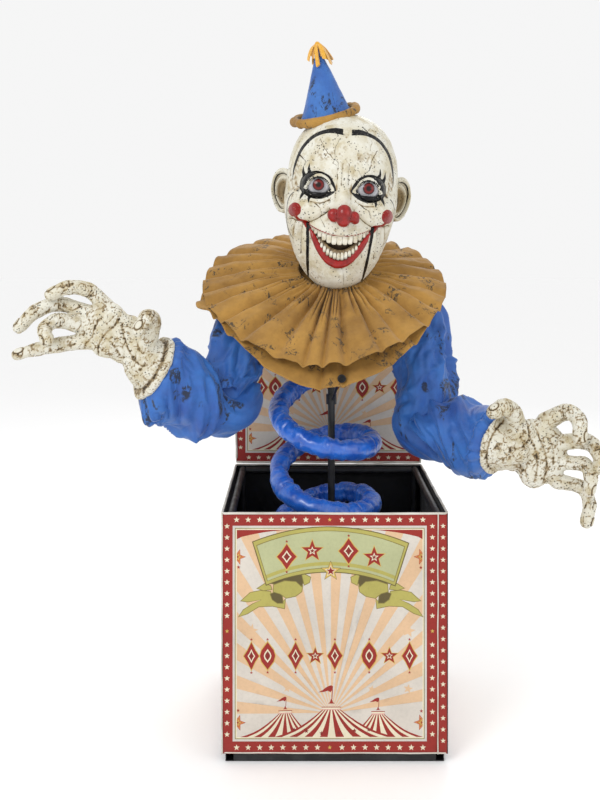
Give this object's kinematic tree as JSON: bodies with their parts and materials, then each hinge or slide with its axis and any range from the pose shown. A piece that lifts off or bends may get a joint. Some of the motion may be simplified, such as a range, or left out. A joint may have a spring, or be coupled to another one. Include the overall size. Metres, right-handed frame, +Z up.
{
  "type": "jack in the box",
  "caption": "Tall animated jack in the box: a clown bust with two big hands rises on a mast from a printed cloth box with a hinged lid and a padded spring.",
  "frame": {"origin": "centre of the underside of the floor frame's cross rail, on the floor straight under the mast", "axes": "+Z up along the mast, +X to the right as seen from the front, -Y towards the viewer"},
  "size_m": [1.228, 0.5158, 1.4975],
  "materials": {
    "frame_black": "satin",
    "black_plastic": "matte",
    "printed_cloth": "matte",
    "black_cloth": "matte",
    "lid_board": "matte",
    "blue_satin": "satin",
    "blue_cloth": "matte",
    "gold_cloth": "matte",
    "yellow_felt": "matte",
    "painted_shell": "matte",
    "tooth_ivory": "satin",
    "switch_ivory": "satin",
    "eye_gloss": "gloss"
  },
  "bodies": {
    "base": {"floor_rail_front": "frame_black", "floor_rail_rear": "frame_black", "floor_rail_left": "frame_black", "floor_rail_right": "frame_black", "floor_cross_rail": "frame_black", "post_front_left": "frame_black", "post_front_right": "frame_black", "post_rear_left": "frame_black", "post_rear_right": "frame_black", "rim_rail_front": "frame_black", "rim_rail_rear": "frame_black", "rim_rail_left": "frame_black", "rim_rail_right": "frame_black", "cloth_front": "printed_cloth", "cloth_rear": "printed_cloth", "cloth_left": "printed_cloth", "cloth_right": "printed_cloth", "box_floor": "black_cloth", "lid_hinge_left": "frame_black", "lid_hinge_right": "frame_black", "drive_motor": "black_plastic", "control_case": "black_plastic", "control_cover": "black_plastic", "satin_spring": "blue_satin"},
    "lid": {"lid_board": "lid_board", "lid_cloth": "printed_cloth"},
    "switch": {"mode_switch": "switch_ivory"},
    "torso": {"mast": "frame_black", "shoulder_hub": "black_plastic", "shoulder_bar": "frame_black", "neck_motor": "black_plastic", "sensor_strut": "frame_black", "motion_sensor": "black_plastic", "shirt_yoke": "blue_cloth", "collar_upper": "gold_cloth", "collar_lower": "gold_cloth"},
    "head": {"head_shell": "painted_shell", "eyeball_left": "eye_gloss", "eyeball_right": "eye_gloss", "upper_teeth": "tooth_ivory", "head_bracket": "frame_black", "jaw_motor": "black_plastic", "hat_cone": "blue_cloth", "hat_brim": "gold_cloth", "hat_tassel": "yellow_felt"},
    "jaw": {"jaw_shell": "painted_shell", "lower_teeth": "tooth_ivory"},
    "arm_left": {"upper_arm_left": "frame_black", "sleeve_upper_left": "blue_cloth"},
    "forearm_left": {"forearm_left": "frame_black", "elbow_bolt_left": "frame_black", "sleeve_lower_left": "blue_cloth", "hand_left": "painted_shell"},
    "arm_right": {"upper_arm_right": "frame_black", "sleeve_upper_right": "blue_cloth"},
    "forearm_right": {"forearm_right": "frame_black", "elbow_bolt_right": "frame_black", "sleeve_lower_right": "blue_cloth", "hand_right": "painted_shell"}
  },
  "joints": [
    {"name": "mast_turn", "type": "hinge", "parent": "base", "child": "torso", "pos_m": [0, 0, 0.1], "axis": [0, 0, 1], "range_deg": [-20, 20]},
    {"name": "head_turn", "type": "hinge", "parent": "torso", "child": "head", "pos_m": [0, 0, 1.02], "axis": [0, 0, 1], "range_deg": [-20, 20]},
    {"name": "jaw_open", "type": "hinge", "parent": "head", "child": "jaw", "pos_m": [0.01811, -0.004, 1.12607], "axis": [0.9969, 0, -0.0785], "range_deg": [0, 8]},
    {"name": "arm_left_swing", "type": "hinge", "parent": "torso", "child": "arm_left", "pos_m": [-0.205, 0, 0.93], "axis": [1, 0, 0], "range_deg": [-12, 12]},
    {"name": "arm_right_swing", "type": "hinge", "parent": "torso", "child": "arm_right", "pos_m": [0.205, 0, 0.93], "axis": [1, 0, 0], "range_deg": [-12, 12]},
    {"name": "elbow_left", "type": "hinge", "parent": "arm_left", "child": "forearm_left", "pos_m": [-0.225, -0.09, 0.702], "axis": [0.5601, -0.7862, 0.2612], "range_deg": [-10, 10]},
    {"name": "elbow_right", "type": "hinge", "parent": "arm_right", "child": "forearm_right", "pos_m": [0.215, -0.02, 0.676], "axis": [0.6773, 0.735, -0.0312], "range_deg": [-10, 10]},
    {"name": "lid_hinge", "type": "hinge", "parent": "base", "child": "lid", "pos_m": [0, 0.2325, 0.506], "axis": [1, 0, 0], "range_deg": [-100, 0]},
    {"name": "mode_switch_slide", "type": "slide", "parent": "base", "child": "switch", "axis": [1, 0, 0], "range_m": [0, 0.008]}
  ]
}
